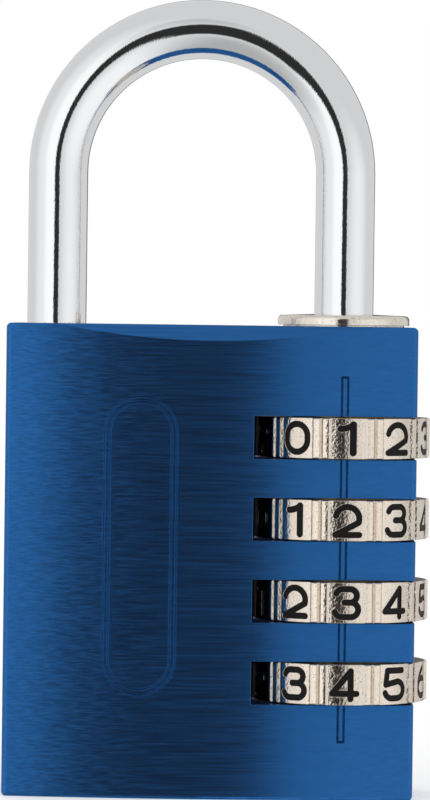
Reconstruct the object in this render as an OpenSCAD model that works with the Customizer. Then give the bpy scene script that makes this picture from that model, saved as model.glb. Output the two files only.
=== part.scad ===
// Combination padlock whose four number dials turn about the long leg of the shackle.
// The origin is the centre of the body's bottom face: +Z up, +X towards the dials, -Y to the front.
// It is drawn locked but on its opening code, so every sleeve's gate stands above a spindle lug.

/* [Body] */
// Width of the body
body_w = 40; // [39:0.5:44]
// Height of the body
body_h = 46; // [45:0.5:52]
// Thickness of the body at its middle
body_t = 14.6; // [14.2:0.2:17]
// Radius of the slightly bulged front and back
bulge_r = 150; // [120:5:300]
// Half of the width of the bevel along the top edges
bevel_half_w = 15.2; // [14.6:0.1:16]
// Height of that bevel at its middle
bevel_h = 1.5; // [0.8:0.1:2]
// Radius on the four upright corners and the corners of the front outline
corner_r = 0.5; // [0.3:0.05:0.8]
// Radius along the bottom edges
bottom_edge_r = 0.3; // [0.2:0.05:0.5]

/* [Shackle] */
// Diameter of the shackle's bar
bar_d = 5.8; // [5.6:0.05:5.8]
// Height of the top of the shackle above the bottom of the body
shackle_top = 77.9; // [74:0.1:120]
// Distance of the spindle leg to the right of the middle
spindle_x = 12.9; // [12.7:0.1:13.2]
// Distance of the toe leg to the left of the middle
toe_x = 15.3; // [14:0.1:15.6]
// Length of the toe leg inside the body
toe_depth = 7; // [5:0.1:7.4]
// Radial clearance of the toe leg in its hole
toe_gap = 0.2; // [0.1:0.05:0.3]

/* [Dials] */
// Height of the middle of the top dial
dial_top_z = 35.2; // [35:0.1:35.6]
// Distance from one dial to the next, which is also the shackle's lift
dial_pitch = 7.94; // [7.8:0.02:8]
// Height of a dial
dial_h = 3.9; // [3.8:0.05:4]
// Radius of a dial over its ribs
ridge_r = 8.6; // [8.5:0.05:8.8]
// Radius of a dial between its ribs
face_r = 8.35; // [8.25:0.05:8.4]
// Height of a dial's window in the body
window_h = 4.2; // [4.15:0.05:4.5]
// Depth of the groove between the two ribs of a pair
groove_depth = 0.3; // [0.26:0.02:0.4]
// Angle by which the dials stand past the index mark when they click in
dial_turn = 2.4; // [0:0.1:2.6]
// Height of a numeral
numeral_h = 3.3; // [2.8:0.1:3.4]
// Width of a numeral
numeral_w = 2.9; // [2.2:0.1:3]
// Thickness of a numeral's strokes
stroke = 0.6; // [0.4:0.02:0.64]

/* [Collar] */
// Diameter of the collar's flange
collar_d = 12.9; // [12.2:0.1:13]
// Height of the flange at its rim
collar_rim_h = 1.1; // [0.8:0.05:1.3]

/* [Hidden] */

blue = [0.08, 0.33, 0.6];
chrome = [0.84, 0.86, 0.88];
nickel = [0.68, 0.66, 0.63];
brass = [0.8, 0.66, 0.35];
spring_steel = [0.2, 0.2, 0.21];

FINE = 96;
EPS = 0.01;
BIG = 200;
DIALS = 4;
DIGITS = 10;
STEP = 360 / DIGITS;
FACE_FLATS = 150;

// Half the body's thickness at a distance x from its middle
function half_t(x) = body_t / 2 - bulge_r + sqrt(bulge_r * bulge_r - x * x);
bulge_y = bulge_r - body_t / 2;

// Running clearances
run_gap = 0.05;
stack_gap = 0.1;

// Bore for the sleeves, and the sleeves that run in it
bore_r = 5.5;
bore_floor = 1.6;
hub_r = bore_r - run_gap;
hub_h = dial_pitch - stack_gap;
hub_bore_r = bar_d / 2 + run_gap;
hub_root_r = 4.9;
cavity_r = 4.3;
gate_h = 3;
flute_w = 1;

// Lugs of the spindle leg, each just under its sleeve's gate ring
lug_r = cavity_r - 0.2;
lug_w = 2;
gate_w = lug_w + 0.4;
lug_h = 2.6;
lug_top = hub_h / 2 - gate_h - stack_gap;
spindle_end_z = 3;

// Pairs of crowned ribs on the dials, and the groove between the two ribs of a pair
rib_w = 1;
rib_top_w = 0.6;
rib_angle = 3;
rib_crown_r = 1.6;
groove_slope = 2 / 3;

// Windows and the pockets of the detent springs
window_gap = 0.15;
window_x = spindle_x - ridge_r - window_gap;
pocket_depth = 1;
pocket_w = 8;
leaf_t = 0.25;
leaf_h = window_h - 0.1;

// Washer and spring under the sleeves
washer_top = dial_z(DIALS) - hub_h / 2 - run_gap;
washer_h = 0.75;
coil_wire = 0.8;
coil_r = 4.4;
half_turns = 6;

// Engraving on the front
index_w = 0.8;
index_line = 0.22;
index_depth = 0.35;
index_bottom = 5.6;
index_top = 41.2;
outline_x = -6.8;
outline_w = 7.2;
outline_bottom = 10;
outline_top = 39.1;
outline_line = 0.17;
outline_spacing = 0.52;
outline_depth = 0.22;

// Numerals: depth of the pocket at its middle, and of the filling on its flat floor
pocket_numeral = 0.3;
fill_numeral = 0.12;

function dial_z(i) = dial_top_z - (i - 1) * dial_pitch;

// ---------- outlines ----------

// Rounded rectangle, centred in x and standing on y = 0
module rounded_rect(w, h, r) {
    translate([-w / 2, r]) square([w, h - 2 * r]);
    translate([-w / 2 + r, 0]) square([w - 2 * r, h]);
    for (x = [-w / 2 + r, w / 2 - r], y = [r, h - r]) translate([x, y]) circle(r = r, $fn = FINE / 2);
}

// Straight stroke with round ends
module bar(a, b, t = stroke) {
    d = b - a;
    translate(a) rotate(atan2(d.y, d.x)) translate([0, -t / 2]) square([norm(d), t]);
    for (p = [a, b]) translate(p) circle(d = t, $fn = 24);
}

// Round stroke from angle a0 anticlockwise to a1, under one turn, with round ends
module bow(centre, r, a0, a1) {
    reach = 2 * (r + stroke);
    span = (a1 - a0) / 6;
    translate(centre) {
        intersection() {
            difference() {
                circle(r = r + stroke / 2, $fn = 48);
                circle(r = r - stroke / 2, $fn = 48);
            }
            polygon([[0, 0], for (k = [0:6]) reach * [cos(a0 + k * span), sin(a0 + k * span)]]);
        }
        for (a = [a0, a1]) translate(r * [cos(a), sin(a)]) circle(d = stroke, $fn = 24);
    }
}

// Closed stroke: a rectangle's outline with the roundest corners that fit
module track(centre, half_w, half_h) {
    outer = [half_w, half_h] + [stroke, stroke] / 2;
    inner = outer - [stroke, stroke];
    translate(centre) difference() {
        round_block(outer);
        round_block(inner);
    }
}

module round_block(half) {
    r = min(half.x, half.y);
    square(2 * (half - [r, r]) + [EPS, EPS], center = true);
    square(2 * (half.x > half.y ? [half.x - r, r] : [r, half.y - r]), center = true);
    for (s = [-1, 1]) translate(s * (half - [r, r])) circle(r = r, $fn = 48);
}

// Numeral n, centred on the origin
module numeral(n) {
    top = (numeral_h - stroke) / 2;
    side = (numeral_w - stroke) / 2;
    upper = top * 0.48;
    lower = top - upper;
    upper_side = 0.88 * side;
    if (n == 0) track([0, 0], side, top);
    if (n == 1) {
        reach = 1.1 * side;
        drop = 0.3 * top;
        flag_r = (reach * reach + drop * drop) / (2 * drop);
        bar([0.4 * side, -top], [0.4 * side, top], 1.15 * stroke);
        bow([0.4 * side - reach, top - drop + flag_r], flag_r, -90, asin(reach / flag_r) - 90);
    }
    if (n == 2) {
        turn = 18;
        bow([0, top - side], side, -turn, 165);
        bar([side * cos(turn), top - side - side * sin(turn)], [-side, -top]);
        bar([-side, -top], [side, -top]);
    }
    if (n == 3) {
        middle = top - 2 * upper;
        hook([upper_side - upper, top - upper], upper, upper_side);
        mirror([0, 1]) hook([side - lower, top - lower], lower, side);
        bar([-0.15 * side, middle], [side - lower, middle]);
    }
    if (n == 4) {
        bar([0.45 * side, -top], [0.45 * side, top]);
        bar([0.45 * side, top], [-1.1 * side, -0.62 * top]);
        bar([-1.1 * side, -0.62 * top], [0.95 * side, -0.62 * top]);
    }
    if (n == 5) {
        bowl = 0.6 * top;
        bar([0.85 * side, top], [-0.75 * side, top]);
        bar([-0.75 * side, top], [-0.9 * side, 0]);
        bar([-0.9 * side, 0], [side - bowl, 2 * bowl - top]);
        mirror([0, 1]) hook([side - bowl, top - bowl], bowl, side);
    }
    if (n == 6) ring_and_tail(top, side);
    if (n == 7) {
        bar([-side, top], [side, top]);
        bar([side, top], [-0.25 * side, -top]);
    }
    if (n == 8) {
        track([0, top - upper], upper_side, upper);
        track([0, lower - top], side, lower);
    }
    if (n == 9) rotate(180) ring_and_tail(top, side);
}

// Right half circle, carried on to the left over its top and a little down again
module hook(centre, r, side) {
    bow(centre, r, -90, 90);
    bar([r - side, centre.y + r], [centre.x, centre.y + r]);
    bow([r - side, centre.y], r, 90, 160);
}

// The shape of a six: a ring, and a tail that leans over its top
module ring_and_tail(top, side) {
    ring = 0.62 * top;
    rise = 2 * top - ring;
    tail_r = 1.05 * rise;
    track([0, ring - top], side, ring);
    bow([tail_r - side, ring - top], tail_r, 180 - asin(rise / tail_r), 180);
}

// Outline of the body seen from above
module body_plan() {
    // Centre of a corner's arc, which touches the side and the bulge
    cx = body_w / 2 - corner_r;
    cy = sqrt(pow(bulge_r - corner_r, 2) - cx * cx) - bulge_y;
    out = [cx, cy + bulge_y] / (bulge_r - corner_r);
    difference() {
        intersection() {
            translate([0, bulge_y]) circle(r = bulge_r, $fn = 4 * FINE);
            translate([0, -bulge_y]) circle(r = bulge_r, $fn = 4 * FINE);
            square([body_w, body_t], center = true);
        }
        for (mx = [0, 1], my = [0, 1]) mirror([mx, 0]) mirror([0, my]) difference() {
            polygon([[cx, cy], [cx + BIG, cy], [cx, cy] + BIG * out]);
            translate([cx, cy]) circle(r = corner_r, $fn = FINE / 2);
        }
    }
}

// ---------- sub-parts ----------

// Solid block: bulged plan, rounded front outline, bevelled top edges, rounded bottom edges
module blank() {
    bevel_y = half_t(bevel_half_w);
    slope = bevel_h / (half_t(0) - bevel_y);
    bevel_foot = body_h - slope * (body_t - bevel_y);
    intersection() {
        linear_extrude(body_h) body_plan();
        translate([0, body_t, 0]) rotate([90, 0, 0]) linear_extrude(2 * body_t)
            rounded_rect(body_w, body_h, corner_r);
        // Side outline with the two top bevels
        translate([-body_w, 0, 0]) rotate([90, 0, 90]) linear_extrude(2 * body_w)
            polygon([[-body_t, 0], [body_t, 0], [body_t, bevel_foot], [bevel_y, body_h],
                     [-bevel_y, body_h], [-body_t, bevel_foot]]);
        // Front and back bulges with a rounded bottom edge
        translate([0, bulge_y, 0]) rounded_disc(bulge_r, body_h, bottom_edge_r);
        translate([0, -bulge_y, 0]) rounded_disc(bulge_r, body_h, bottom_edge_r);
    }
}

// Disc whose bottom edge is rounded
module rounded_disc(r, h, edge_r) {
    rotate_extrude($fn = 4 * FINE) {
        translate([0, edge_r]) square([r, h - edge_r]);
        square([r - edge_r, edge_r + EPS]);
        translate([r - edge_r, edge_r]) circle(r = edge_r, $fn = 32);
    }
}

module body() color(blue) difference() {
    blank();
    // Bore for the sleeves, and the hole for the toe leg
    translate([spindle_x, 0, bore_floor]) cylinder(r = bore_r, h = body_h, $fn = FINE);
    translate([-toe_x, 0, body_h - toe_depth - 2 * toe_gap])
        cylinder(r = bar_d / 2 + toe_gap, h = body_h, $fn = FINE);
    for (i = [1:DIALS]) translate([window_x, 0, dial_z(i)]) {
        // Dial window, open to the front, the right and the back
        translate([0, -body_t, -window_h / 2]) cube([body_w, 2 * body_t, window_h]);
        translate([-pocket_depth, -pocket_w / 2, -window_h / 2])
            cube([pocket_depth + 1, pocket_w, window_h]);
    }
    index_mark();
    engraved_outline();
}

// Narrow engraved loop above the spindle, to which the numbers are set
module index_mark() {
    h = index_top - index_bottom;
    translate([spindle_x, index_depth - half_t(spindle_x), index_bottom]) rotate([90, 0, 0])
        linear_extrude(body_t) difference() {
            translate([-index_w / 2, 0]) square([index_w, h]);
            translate([index_line - index_w / 2, index_line])
                square([index_w - 2 * index_line, h - 2 * index_line]);
        }
}

// Two fine lines round the plain field left of the dials
module engraved_outline() {
    intersection() {
        translate([outline_x, 0, outline_bottom]) rotate([90, 0, 0]) linear_extrude(body_t)
            for (inset = [0, outline_spacing]) ring_line(inset);
        difference() {
            translate([-body_w / 2, -body_t, 0]) cube([body_w, body_t, body_h]);
            translate([0, bulge_y, -1])
                cylinder(r = bulge_r - outline_depth, h = body_h + 2, $fn = 4 * FINE);
        }
    }
}

// One fine line, set in from the outermost one
module ring_line(inset) {
    h = outline_top - outline_bottom;
    difference() {
        translate([0, inset]) stadium(outline_w - 2 * inset, h - 2 * inset);
        translate([0, inset + outline_line])
            stadium(outline_w - 2 * (inset + outline_line), h - 2 * (inset + outline_line));
    }
}

// Upright outline with round ends, standing on y = 0
module stadium(w, h) {
    translate([-w / 2, w / 2]) square([w, h - w]);
    for (y = [w / 2, h - w / 2]) translate([0, y]) circle(d = w, $fn = FINE);
}

// One bent bar: toe leg, half-round bend, and spindle leg with a lug for every sleeve
module shackle() color(chrome) {
    bend_r = (spindle_x + toe_x) / 2;
    bend_z = shackle_top - bar_d / 2 - bend_r;
    middle_x = (spindle_x - toe_x) / 2;
    translate([middle_x, 0, bend_z]) rotate([90, 0, 0])
        rotate_extrude(angle = 180, $fn = 2 * FINE) translate([bend_r, 0]) circle(d = bar_d, $fn = FINE);
    leg(-toe_x, body_h - toe_depth, bend_z);
    leg(spindle_x, spindle_end_z, bend_z);
    for (i = [1:DIALS]) translate([spindle_x, 0, dial_z(i) + lug_top - lug_h]) lug();
}

// Straight leg with a chamfered end
module leg(x, from_z, to_z) {
    chamfer = 0.6;
    r = bar_d / 2;
    translate([x, 0, from_z]) rotate_extrude($fn = FINE)
        polygon([[0, 0], [r - chamfer, 0], [r, chamfer], [r, to_z - from_z], [0, to_z - from_z]]);
}

// Lug on the side of the spindle that faces the toe leg
module lug() intersection() {
    cylinder(r = lug_r, h = lug_h, $fn = FINE);
    translate([-lug_r - 1, -lug_w / 2, 0]) cube([lug_r, lug_w, lug_h]);
}

// Pressed-in bushing: the top lug rises inside it and stops under its flange
module collar() color(nickel) {
    flange_r = collar_d / 2;
    edge_r = 0.4;
    relief = 0.15;
    dome = 0.12;
    spigot_r = bore_r - 0.02;
    spigot_bottom = dial_z(1) + hub_h / 2 + stack_gap;
    stop_z = dial_z(1) + lug_top + dial_pitch + stack_gap;
    rim = body_h + collar_rim_h;
    translate([spindle_x, 0, 0]) rotate_extrude($fn = FINE) difference() {
        union() {
            translate([0, spigot_bottom]) square([spigot_r, rim - spigot_bottom]);
            translate([0, body_h]) square([flange_r - 0.5, EPS + relief]);
            translate([0, body_h + relief]) square([flange_r, collar_rim_h - relief - edge_r]);
            polygon([[0, rim - edge_r - EPS], [flange_r - edge_r, rim - edge_r - EPS],
                     [flange_r - edge_r, rim], [hub_bore_r, rim + dome], [0, rim + dome]]);
            translate([flange_r - edge_r, rim - edge_r]) circle(r = edge_r, $fn = 32);
        }
        translate([-BIG, 0]) square([BIG + hub_bore_r, BIG]);
        translate([0, spigot_bottom - 1]) square([cavity_r, stop_z - spigot_bottom + 1]);
    }
}

// Number dial i: a pair of ribs between its ten numerals, inner teeth that mesh with its sleeve
module dial(i) color(nickel) at_dial(i) rotate(dial_turn) difference() {
    union() {
        difference() {
            intersection() {
                translate([0, 0, -dial_h / 2]) linear_extrude(dial_h) dial_outline();
                dial_rim();
            }
            translate([0, 0, -dial_h]) cylinder(r = bore_r + run_gap, h = 2 * dial_h, $fn = FINE);
        }
        dial_teeth();
    }
    placed_numerals(i, face_r - pocket_numeral, 1);
}

module dial_outline() {
    groove_w = 2 * groove_depth * groove_slope;
    difference() {
        union() {
            // Narrow flats stand for the round face, so that the numerals' pockets cut it cleanly
            polygon([for (k = [0.5:FACE_FLATS]) face_r * [cos(k * 360 / FACE_FLATS),
                                                          sin(k * 360 / FACE_FLATS)]]);
            for (k = [0:DIGITS - 1], s = [-1, 1]) rotate((k + 0.5) * STEP + s * rib_angle) rib();
        }
        for (k = [0:DIGITS - 1]) rotate((k + 0.5) * STEP)
            polygon([[0, groove_depth - ridge_r], [groove_w, -ridge_r - groove_depth],
                     [-groove_w, -ridge_r - groove_depth]]);
    }
}

// One rib, on the side of -Y: sloped flanks and a crowned top
module rib() {
    slope = (rib_w - rib_top_w) / 2 / (ridge_r - face_r);
    over = 0.1;
    root_x = rib_w / 2 + slope * over;
    top_x = rib_top_w / 2 - slope * over;
    intersection() {
        translate([0, rib_crown_r - ridge_r]) circle(r = rib_crown_r, $fn = FINE);
        polygon([[-root_x, over - face_r], [root_x, over - face_r],
                 [top_x, -ridge_r - over], [-top_x, -ridge_r - over]]);
    }
}

// Disc with rounded edges, which takes the sharpness off the dial's rims
module dial_rim() {
    edge_r = 0.2;
    rim_r = ridge_r + EPS;
    translate([0, 0, -dial_h / 2]) rotate_extrude($fn = 2 * FINE) {
        square([rim_r - edge_r, dial_h]);
        translate([0, edge_r]) square([rim_r, dial_h - 2 * edge_r]);
        for (z = [edge_r, dial_h - edge_r]) translate([rim_r - edge_r, z]) circle(r = edge_r, $fn = 32);
    }
}

// Low inner teeth, so that a lowered sleeve leaves them when the code is changed
module dial_teeth() {
    tooth_w = flute_w - 0.1;
    tooth_h = 2;
    difference() {
        for (k = [0:DIGITS - 1]) rotate(k * STEP)
            translate([-tooth_w / 2, -bore_r - 0.4, -dial_h / 2 + stack_gap]) cube([tooth_w, 1, tooth_h]);
        translate([0, 0, -dial_h]) cylinder(r = hub_root_r + 0.1, h = 2 * dial_h, $fn = FINE);
    }
}

// The ten numerals of dial i from radius r outwards, with its own number at the index
module placed_numerals(i, r, depth) {
    for (k = [0:DIGITS - 1]) rotate([0, 0, k * STEP]) translate([0, -r, 0]) rotate([90, 0, 0])
        linear_extrude(depth) numeral((i + k) % DIGITS);
}

module dial_numerals(i) color("black") at_dial(i) rotate(dial_turn)
    placed_numerals(i, face_r - pocket_numeral, fill_numeral);

// Code sleeve i: a gate in its upper ring, room for the lug below it, flutes and a neck outside
module hub(i) color(brass) at_dial(i) difference() {
    half = hub_h / 2;
    ring_z = half - gate_h;
    neck_bottom = 0.3;
    neck_top = 2.7;
    translate([0, 0, -half]) cylinder(r = hub_r, h = hub_h, $fn = FINE);
    translate([0, 0, -hub_h]) cylinder(r = hub_bore_r, h = 2 * hub_h, $fn = FINE);
    translate([0, 0, -hub_h]) cylinder(r = cavity_r, h = hub_h + ring_z, $fn = FINE);
    // Gate for the lug
    intersection() {
        cylinder(r = cavity_r, h = hub_h, $fn = FINE);
        translate([-cavity_r - 1, -gate_w / 2, 0]) cube([cavity_r + 1, gate_w, hub_h]);
    }
    // Neck in which the dial's teeth turn freely while the code is changed
    difference() {
        translate([0, 0, neck_bottom]) cylinder(r = hub_r + 1, h = neck_top - neck_bottom, $fn = FINE);
        cylinder(r = hub_root_r, h = hub_h, $fn = FINE);
    }
    for (k = [0:DIGITS - 1]) rotate([0, 0, dial_turn + k * STEP])
        translate([-flute_w / 2, -hub_r - 1, -half - 1])
            cube([flute_w, 1 + hub_r - hub_root_r, half + 1 + neck_bottom + EPS]);
}

// Bowed leaf spring whose bead clicks into the groove between two ribs of dial i
module detent_spring(i) color(spring_steel) {
    bead_r = 0.2;
    // The bead sinks into the groove, just clear of its flanks
    bead_out = 0.12;
    bead = (ridge_r + bead_out) * [-cos(dial_turn), -sin(dial_turn)] + [spindle_x, 0];
    foot = [window_x - pocket_depth + 0.15, 3];
    translate([0, 0, dial_z(i) - leaf_h / 2]) linear_extrude(leaf_h) {
        translate(bead) circle(r = bead_r, $fn = 24);
        for (s = [-1, 1]) bar(bead - [0.15, 0], [foot.x, bead.y + s * foot.y], leaf_t);
    }
}

module thrust_washer() color(brass) translate([spindle_x, 0, washer_top - washer_h]) difference() {
    cylinder(r = hub_r, h = washer_h, $fn = FINE);
    translate([0, 0, -1]) cylinder(r = hub_bore_r + 0.2, h = washer_h + 2, $fn = FINE);
}

// Coil of half rings, tilted by turns so that each begins where the last one ended
module stack_spring() color(spring_steel) translate([spindle_x, 0, bore_floor + coil_wire / 2]) {
    length = washer_top - washer_h - bore_floor - coil_wire;
    rise = length / half_turns;
    tilt = asin(rise / 2 / coil_r);
    for (k = [0:half_turns - 1]) translate([0, 0, (k + 0.5) * rise])
        rotate([0, k % 2 == 0 ? tilt : -tilt, 0]) rotate([0, 0, k % 2 == 0 ? 0 : 180])
            rotate_extrude(angle = 180, $fn = FINE) translate([coil_r, 0]) circle(d = coil_wire, $fn = 24);
}

module at_dial(i) translate([spindle_x, 0, dial_z(i)]) children();

body();
shackle();
collar();
dial(1);  // dial_1
dial(2);  // dial_2
dial(3);  // dial_3
dial(4);  // dial_4
dial_numerals(1);  // dial_1_numerals
dial_numerals(2);  // dial_2_numerals
dial_numerals(3);  // dial_3_numerals
dial_numerals(4);  // dial_4_numerals
hub(1);  // hub_1
hub(2);  // hub_2
hub(3);  // hub_3
hub(4);  // hub_4
detent_spring(1);  // detent_spring_1
detent_spring(2);  // detent_spring_2
detent_spring(3);  // detent_spring_3
detent_spring(4);  // detent_spring_4
thrust_washer();
stack_spring();
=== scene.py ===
"""Looks of the combination padlock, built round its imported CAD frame."""
import math

import bpy
from mathutils import Euler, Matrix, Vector

# Sockets of the Mix node, whose names repeat for each kind of data
VALUE_A, VALUE_B, VALUE_RESULT = 2, 3, 0
COLOUR_A, COLOUR_B, COLOUR_RESULT = 6, 7, 2

DIALS = range(1, 5)
WHITE = (1, 1, 1, 1)

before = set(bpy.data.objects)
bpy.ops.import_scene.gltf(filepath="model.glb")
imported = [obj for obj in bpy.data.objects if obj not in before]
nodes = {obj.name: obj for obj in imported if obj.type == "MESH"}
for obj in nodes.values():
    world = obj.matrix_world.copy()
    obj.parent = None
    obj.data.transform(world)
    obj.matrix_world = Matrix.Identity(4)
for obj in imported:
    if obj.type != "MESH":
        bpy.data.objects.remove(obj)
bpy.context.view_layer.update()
scene = bpy.context.scene
scene.view_settings.view_transform = "Standard"


# ---------- node helpers ----------

def new_material(name):
    material = bpy.data.materials.new(name)
    material.use_nodes = True
    tree = material.node_tree
    return material, tree, tree.nodes["Principled BSDF"]


def add(tree, kind, **values):
    """A shader node; keywords name its inputs, or its properties where no input has that name."""
    node = tree.nodes.new(kind)
    for key, value in values.items():
        socket = node.inputs.get(key.replace("_", " "))
        if socket is not None:
            socket.default_value = value
        else:
            setattr(node, key, value)
    return node


def connect(tree, slot, value):
    """Gives an input a number or another node's output."""
    if isinstance(value, bpy.types.NodeSocket):
        tree.links.new(value, slot)
    else:
        slot.default_value = value


def maths(tree, operation, first, second=0.0):
    """A math node on two values, each a number or another node's output."""
    node = add(tree, "ShaderNodeMath", operation=operation)
    connect(tree, node.inputs[0], first)
    connect(tree, node.inputs[1], second)
    return node.outputs[0]


def separate(tree, vector):
    """The X, Y and Z of a vector."""
    node = add(tree, "ShaderNodeSeparateXYZ")
    tree.links.new(vector, node.inputs[0])
    return node.outputs


def streaks(tree, scale, detail=3.0, rough=0.6):
    """Noise in object space, with so many waves to a metre along each axis."""
    place = add(tree, "ShaderNodeTexCoord")
    mapping = add(tree, "ShaderNodeMapping", Scale=scale)
    noise = add(tree, "ShaderNodeTexNoise", Scale=1.0, Detail=detail, Roughness=rough)
    tree.links.new(place.outputs["Object"], mapping.inputs["Vector"])
    tree.links.new(mapping.outputs["Vector"], noise.inputs["Vector"])
    return noise.outputs["Fac"]


def ramp(tree, source, low, high, out_low, out_high):
    """Runs from out_low to out_high while the source goes from low to high, and is level beyond."""
    node = add(tree, "ShaderNodeMapRange", From_Min=low, From_Max=high, To_Min=out_low, To_Max=out_high)
    tree.links.new(source, node.inputs["Value"])
    return node.outputs["Result"]


def choose(tree, factor, first, second):
    """The first value where the factor is 0, and the second where it is 1."""
    node = add(tree, "ShaderNodeMix", data_type="FLOAT")
    tree.links.new(factor, node.inputs["Factor"])
    connect(tree, node.inputs[VALUE_A], first)
    connect(tree, node.inputs[VALUE_B], second)
    return node.outputs[VALUE_RESULT]


def blend_colours(tree, factor, first, second):
    """The first colour where the factor is 0, and the second where it is 1."""
    node = add(tree, "ShaderNodeMix", data_type="RGBA")
    node.inputs[COLOUR_A].default_value = (*first, 1)
    node.inputs[COLOUR_B].default_value = (*second, 1)
    tree.links.new(factor, node.inputs["Factor"])
    return node.outputs[COLOUR_RESULT]


def times(tree, colour, factor):
    """A colour made lighter or darker by a factor."""
    node = add(tree, "ShaderNodeMix", data_type="RGBA", blend_type="MULTIPLY")
    node.inputs["Factor"].default_value = 1.0
    tree.links.new(colour, node.inputs[COLOUR_A])
    tree.links.new(factor, node.inputs[COLOUR_B])
    return node.outputs[COLOUR_RESULT]


def soft_edges(tree, radius):
    """Normals that run round the edges, as on metal broken by hand or tumbled."""
    return add(tree, "ShaderNodeBevel", Radius=radius).outputs["Normal"]


def bump(tree, height, strength, distance, normal=None):
    node = add(tree, "ShaderNodeBump", Strength=strength, Distance=distance)
    tree.links.new(height, node.inputs["Height"])
    if normal is not None:
        tree.links.new(normal, node.inputs["Normal"])
    return node.outputs["Normal"]


# ---------- materials ----------

def brushing(tree, on_side, along, across, detail, rough):
    """Level streaks: along X on the front, back and top, and along Y on the two sides."""
    return choose(tree, on_side, streaks(tree, (along, across, across), detail, rough),
                  streaks(tree, (across, along, across), detail, rough))


def anodised_blue():
    """Blue anodised aluminium, brushed level all round, so its highlights stretch along Z."""
    material, tree, shader = new_material("anodised_blue")
    place = add(tree, "ShaderNodeTexCoord")
    sideways = maths(tree, "ABSOLUTE", separate(tree, place.outputs["Normal"])["X"])
    on_side = ramp(tree, sideways, 0.68, 0.72, 0, 1)
    fine = brushing(tree, on_side, 100, 8000, 2.0, 0.5)
    broad = brushing(tree, on_side, 60, 1800, 3.0, 0.6)
    shader.inputs["Metallic"].default_value = 1.0
    shader.inputs["Anisotropic"].default_value = 0.85
    # The clear oxide layer
    shader.inputs["Coat Weight"].default_value = 0.3
    shader.inputs["Coat Roughness"].default_value = 0.65
    tone = blend_colours(tree, ramp(tree, broad, 0.3, 0.7, 0, 1),
                         (0.018, 0.125, 0.377), (0.020, 0.132, 0.393))
    # The streaks fade from the toe leg's side towards the dials
    depth = ramp(tree, separate(tree, place.outputs["Object"])["X"], -0.008, 0.004, 1.0, 0.4)
    swing = maths(tree, "MULTIPLY", ramp(tree, fine, 0.35, 0.65, -0.17, 0.17), depth)
    tree.links.new(times(tree, tone, maths(tree, "ADD", swing, 1.0)), shader.inputs["Base Color"])
    tree.links.new(ramp(tree, fine, 0.3, 0.7, 0.21, 0.27), shader.inputs["Roughness"])
    tree.links.new(bump(tree, fine, 0.1, 0.00001, soft_edges(tree, 0.0001)), shader.inputs["Normal"])
    # Upright, with enough Y to hold on the level faces too
    across = add(tree, "ShaderNodeCombineXYZ", Y=0.05, Z=1.0)
    tree.links.new(across.outputs["Vector"], shader.inputs["Tangent"])
    return material


def chrome():
    """Polished bar with the faint grain of drawn steel under its plating."""
    material, tree, shader = new_material("chrome")
    grain = streaks(tree, (7000, 7000, 3000), 3.0)
    shader.inputs["Base Color"].default_value = (0.83, 0.84, 0.85, 1)
    shader.inputs["Metallic"].default_value = 1.0
    tree.links.new(ramp(tree, grain, 0.3, 0.7, 0.02, 0.07), shader.inputs["Roughness"])
    tree.links.new(bump(tree, grain, 0.12, 0.00003), shader.inputs["Normal"])
    return material


def nickel(name, colour, grain_size, roughness, strength):
    """Warm plated metal: a bright skin over the swirls of the casting, with a few pits."""
    material, tree, shader = new_material(name)
    swirls = streaks(tree, (1 / grain_size,) * 3, 2.0, 0.5)
    pits = streaks(tree, (9000,) * 3, 2.0, 0.5)
    shader.inputs["Metallic"].default_value = 1.0
    darker = tuple(0.35 * c for c in colour)
    tree.links.new(blend_colours(tree, ramp(tree, pits, 0.3, 0.4, 0, 1), darker, colour),
                   shader.inputs["Base Color"])
    tree.links.new(ramp(tree, swirls, 0.35, 0.65, roughness * 1.4, roughness * 0.7),
                   shader.inputs["Roughness"])
    edges = soft_edges(tree, 0.00008)
    tree.links.new(bump(tree, swirls, strength, 0.00005, edges), shader.inputs["Normal"])
    return material


def black_filling():
    material, tree, shader = new_material("black_filling")
    grain = streaks(tree, (6000,) * 3, 3.0)
    shader.inputs["Base Color"].default_value = (0.006, 0.005, 0.005, 1)
    shader.inputs["Specular IOR Level"].default_value = 0.2
    tree.links.new(ramp(tree, grain, 0.3, 0.7, 0.4, 0.65), shader.inputs["Roughness"])
    tree.links.new(bump(tree, grain, 0.4, 0.00005), shader.inputs["Normal"])
    return material


def inner_metal(name, colour, roughness):
    """Turned or drawn metal inside the lock, with fine rings round Z."""
    material, tree, shader = new_material(name)
    turned = streaks(tree, (900, 900, 9000), 2.0)
    shader.inputs["Base Color"].default_value = (*colour, 1)
    shader.inputs["Metallic"].default_value = 1.0
    tree.links.new(ramp(tree, turned, 0.3, 0.7, roughness * 0.8, roughness * 1.2), shader.inputs["Roughness"])
    return material


def dress(name, material):
    """Gives a CAD node its material."""
    for slot in nodes[name].material_slots:
        slot.material = material


def dress_lock():
    dial = nickel("dial_nickel", (0.80, 0.715, 0.62), 0.00026, 0.10, 0.6)
    black = black_filling()
    brass = inner_metal("brass", (0.42, 0.31, 0.15), 0.35)
    steel = inner_metal("spring_steel", (0.06, 0.06, 0.065), 0.4)
    dress("body", anodised_blue())
    dress("shackle", chrome())
    dress("collar", nickel("nickel", (0.82, 0.76, 0.68), 0.0003, 0.12, 0.06))
    dress("thrust_washer", brass)
    dress("stack_spring", steel)
    for i in DIALS:
        dress(f"dial_{i}", dial)
        dress(f"dial_{i}_numerals", black)
        dress(f"hub_{i}", brass)
        dress(f"detent_spring_{i}", steel)


# ---------- studio ----------
# Azimuths count from the -Y direction, positive towards +X, and all angles are in degrees

TENT_LIGHT = 0.74
OPENING_LIGHT = 0.03
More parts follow.
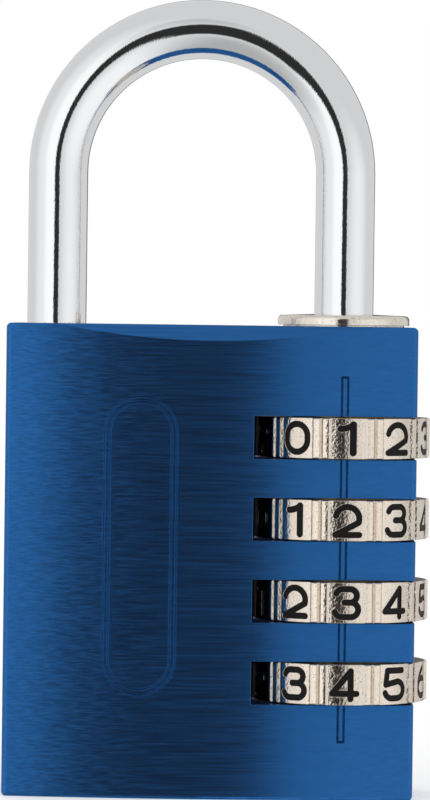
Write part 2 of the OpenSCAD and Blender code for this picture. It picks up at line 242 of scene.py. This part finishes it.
# Soft patches of the tent: azimuth, elevation, inner and outer radius, and the light they add
PATCHES = ((-45, 5, 12, 60, 0.22),     # lamp on the left
           (-25, 5, 5, 35, 0.20),      # its brighter edge, next to the opening
           (-5, 28, 3, 16, -0.20),     # shade over the opening
           (50, -28, 8, 52, 0.33),     # lamp on the right, low
           (-30, -58, 20, 50, -0.25),  # darker ground
           (172, 4, 7, 26, -0.6))      # dark gap behind the lock


def tent():
    """A light tent of grey-white cloth with lamps behind it, and in front of the lock the dark
    opening through which it is seen. The camera itself sees plain white behind the lock."""
    world = bpy.data.worlds.new("tent")
    scene.world = world
    world.use_nodes = True
    tree = world.node_tree
    direction = add(tree, "ShaderNodeTexCoord").outputs["Generated"]
    level = TENT_LIGHT
    for values in PATCHES:
        level = maths(tree, "ADD", level, patch(tree, direction, *values))
    reflected = choose(tree, cloth_mask(tree, direction), OPENING_LIGHT, level)
    seen = add(tree, "ShaderNodeLightPath").outputs["Is Camera Ray"]
    background = tree.nodes["Background"]
    tree.links.new(choose(tree, seen, reflected, 1.0), background.inputs["Strength"])
    background.inputs["Color"].default_value = WHITE


def patch(tree, direction, azimuth, elevation, inner, outer, height):
    """A soft round patch of light: height up to inner degrees from its middle, 0 past outer."""
    az, el = math.radians(azimuth), math.radians(elevation)
    dot = add(tree, "ShaderNodeVectorMath", operation="DOT_PRODUCT")
    tree.links.new(direction, dot.inputs[0])
    dot.inputs[1].default_value = (math.sin(az) * math.cos(el), -math.cos(az) * math.cos(el), math.sin(el))
    fade = add(tree, "ShaderNodeMapRange", interpolation_type="SMOOTHSTEP", To_Max=height,
               From_Min=math.cos(math.radians(outer)), From_Max=math.cos(math.radians(inner)))
    tree.links.new(dot.outputs["Value"], fade.inputs["Value"])
    return fade.outputs["Result"]


def cloth_mask(tree, direction):
    """0 in the opening and 1 on the cloth round it. The opening's left edge leans a little."""
    split = separate(tree, direction)
    azimuth = maths(tree, "ARCTAN2", split["X"], maths(tree, "SUBTRACT", 0.0, split["Y"]))
    elevation = maths(tree, "ARCSINE", split["Z"])
    leaning = maths(tree, "ADD", azimuth, maths(tree, "MULTIPLY", elevation, -0.33))
    height = maths(tree, "ABSOLUTE", maths(tree, "SUBTRACT", elevation, math.radians(-1.6)))
    sides = maths(tree, "MAXIMUM", edge(tree, leaning, -12.2, -14.2), edge(tree, azimuth, 4.9, 6.9))
    return maths(tree, "MAXIMUM", sides, edge(tree, height, 16.5, 20.5))


def edge(tree, angle, start, stop):
    """Runs from 0 to 1 between two angles given in degrees."""
    return ramp(tree, angle, math.radians(start), math.radians(stop), 0, 1)


def floor():
    """Plain pale floor, left out of the reflections, where the tent's ground stands for it."""
    side = 3.0
    bpy.ops.mesh.primitive_plane_add(size=side, location=(0, 0, 0))
    piece = bpy.context.object
    piece.name = "floor"
    material, tree, shader = new_material("pale_floor")
    shader.inputs["Base Color"].default_value = (0.9, 0.9, 0.9, 1)
    shader.inputs["Roughness"].default_value = 0.9
    shader.inputs["Emission Color"].default_value = WHITE
    shader.inputs["Emission Strength"].default_value = 0.35
    piece.data.materials.append(material)
    piece.visible_glossy = False


def camera():
    """The viewing angle: level with the top of the body, tilted down and rolled by about 1 degree."""
    down, roll, left = math.radians(1.04), math.radians(-0.753), math.radians(-0.29)
    data = bpy.data.cameras.new("camera")
    data.sensor_fit = "VERTICAL"
    data.sensor_height = 24.0
    data.lens = 137.3
    data.clip_start = 0.01
    piece = bpy.data.objects.new("camera", data)
    piece.location = Vector((-0.00204, -0.450, 0.0468))
    piece.rotation_euler = Euler((math.radians(90) - down, roll, left), "XYZ")
    scene.collection.objects.link(piece)
    scene.camera = piece


dress_lock()
tent()
floor()
camera()
